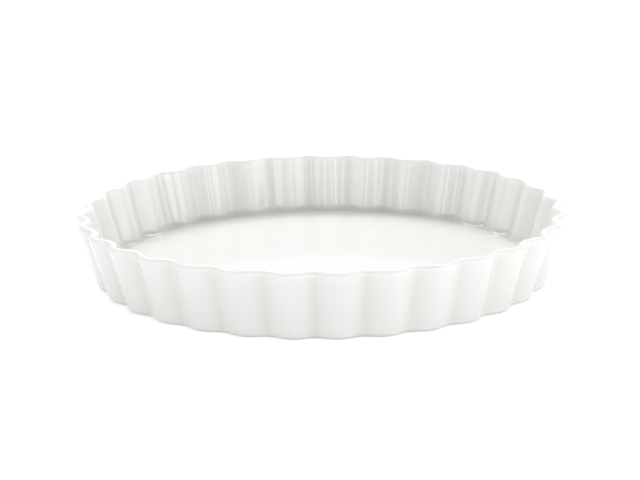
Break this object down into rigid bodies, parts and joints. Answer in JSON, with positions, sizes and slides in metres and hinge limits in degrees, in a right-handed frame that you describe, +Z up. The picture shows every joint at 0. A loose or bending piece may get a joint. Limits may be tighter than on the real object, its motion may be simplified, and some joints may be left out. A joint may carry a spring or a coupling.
{
  "type": "fluted quiche dish",
  "caption": "Low round quiche dish with a fluted, outward-leaning wall, a rounded rim and a flat floor on a narrow foot ring, in white glazed porcelain.",
  "frame": {"origin": "on the dish's axis, at the level of the foot ring that the dish stands on", "axes": "+Z up through the open top; +X and +Y through flute crests, and the dish is alike every 1/32 of a turn about Z"},
  "size_m": [0.2796, 0.2796, 0.0385],
  "materials": {
    "glazed_porcelain": "smooth white gloss glaze, bare on the foot ring"
  },
  "bodies": {
    "root": {"fluted_dish": "glazed_porcelain"}
  },
  "joints": []
}
